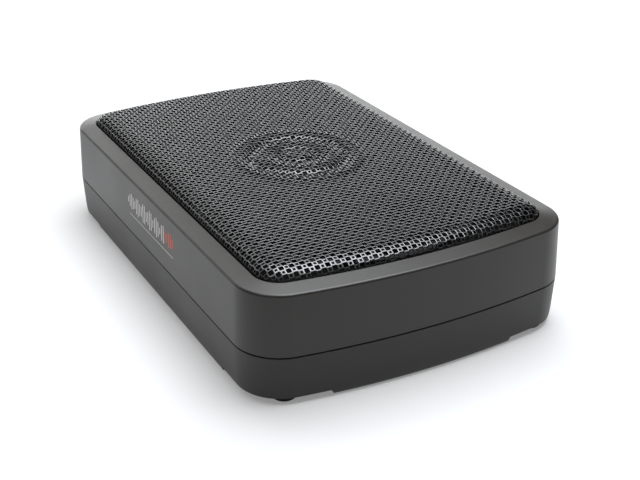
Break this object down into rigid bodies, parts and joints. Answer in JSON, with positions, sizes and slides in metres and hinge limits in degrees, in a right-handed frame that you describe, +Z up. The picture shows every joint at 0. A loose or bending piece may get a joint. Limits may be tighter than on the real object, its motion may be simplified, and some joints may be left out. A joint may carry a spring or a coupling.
{
  "type": "powered car subwoofer",
  "caption": "Low powered subwoofer for under a car seat: two-part housing, domed perforated grille, shallow driver, amplifier and end control panel.",
  "frame": {"origin": "middle of the footprint on the plane the rubber feet stand on", "axes": "+X across the width, +Y along the length towards the control panel, +Z up through the grille"},
  "size_m": [0.228, 0.35, 0.0819],
  "materials": {
    "upper_shell": "satin dark grey, fine texture",
    "lower_shell": "satin powder-coated die casting",
    "black_rubber": "matte",
    "grille_steel": "satin black powder coat",
    "black_steel": "satin black",
    "zinc_steel": "zinc plated",
    "black_screw": "black oxide",
    "brass": "machined",
    "ferrite": "sintered, matte",
    "copper_wire": "enamelled copper",
    "cone_paper": "pressed pulp, matte",
    "surround_rubber": "smooth, slight sheen",
    "spider_cloth": "resin-dipped cotton",
    "former_sheet": "wrapped polyimide",
    "gasket_foam": "closed-cell foam",
    "phenolic": "punched laminate",
    "tinsel": "braided",
    "lead_red": "insulated lead",
    "circuit_board": "solder-resist green",
    "white_plastic": "moulded",
    "raw_aluminium": "extruded",
    "transistor_body": "epoxy",
    "toroid_green": "coated powder core",
    "ferrite_drum": "sintered",
    "capacitor_sleeve": "heat-shrink sleeve",
    "black_plastic": "fine texture",
    "nickel": "nickel plated",
    "red_plastic": "moulded",
    "fuse_orange": "translucent moulded",
    "knob_plastic": "fine texture, white pointer",
    "led_lens": "diffused lens"
  },
  "bodies": {
    "housing": {"top_housing": "upper_shell", "bottom_housing": "lower_shell", "seam_gasket": "black_rubber", "grille": "grille_steel", "rubber_feet": "black_rubber", "bracket_inserts": "brass", "case_screws": "black_screw", "basket": "black_steel", "front_gasket": "gasket_foam", "surround": "surround_rubber", "spider": "spider_cloth", "top_plate": "zinc_steel", "magnet": "ferrite", "yoke": "zinc_steel", "terminal_board": "phenolic", "driver_tags": "brass", "tinsel_leads": "tinsel", "driver_screws": "black_screw", "speaker_leads": "lead_red", "amp_board": "circuit_board", "control_board": "circuit_board", "board_connector": "white_plastic", "heat_sink": "raw_aluminium", "transistors": "transistor_body", "toroid_core": "toroid_green", "toroid_winding": "copper_wire", "choke_cores": "ferrite_drum", "choke_windings": "copper_wire", "capacitors": "capacitor_sleeve", "board_screws": "zinc_steel", "control_panel": "black_plastic", "panel_standoffs": "brass", "panel_screws": "black_screw", "power_socket": "black_plastic", "power_pins": "brass", "speaker_socket": "white_plastic", "speaker_pins": "brass", "phono_jacks": "nickel", "phono_insulator_left": "white_plastic", "phono_insulator_right": "red_plastic", "remote_jack": "black_plastic", "fuse_holder": "black_plastic", "fuse": "fuse_orange", "potentiometers": "zinc_steel", "phase_switch": "zinc_steel", "power_led": "led_lens"},
    "cone_assembly": {"cone": "cone_paper", "dust_cap": "cone_paper", "voice_coil_former": "former_sheet", "voice_coil_winding": "copper_wire"},
    "gain_control": {"gain_knob": "knob_plastic", "gain_shaft": "zinc_steel"},
    "crossover_control": {"crossover_knob": "knob_plastic", "crossover_shaft": "zinc_steel"},
    "bass_control": {"bass_knob": "knob_plastic", "bass_shaft": "zinc_steel"},
    "phase_control": {"phase_slider": "black_plastic"}
  },
  "joints": [
    {"name": "cone_excursion", "type": "slide", "parent": "housing", "child": "cone_assembly", "axis": [0, 0, 1], "range_m": [-0.005, 0.005], "stiffness_N_per_m": 3300, "deforming": ["surround", "spider", "tinsel_leads"]},
    {"name": "gain_turn", "type": "hinge", "parent": "housing", "child": "gain_control", "pos_m": [-0.062, 0.1675, 0.0455], "axis": [0, 1, 0], "range_deg": [-150, 150]},
    {"name": "crossover_turn", "type": "hinge", "parent": "housing", "child": "crossover_control", "pos_m": [-0.03, 0.1675, 0.0455], "axis": [0, 1, 0], "range_deg": [-150, 150]},
    {"name": "bass_turn", "type": "hinge", "parent": "housing", "child": "bass_control", "pos_m": [0.002, 0.1675, 0.0455], "axis": [0, 1, 0], "range_deg": [-150, 150]},
    {"name": "phase_slide", "type": "slide", "parent": "housing", "child": "phase_control", "axis": [1, 0, 0], "range_m": [0, 0.004]}
  ]
}
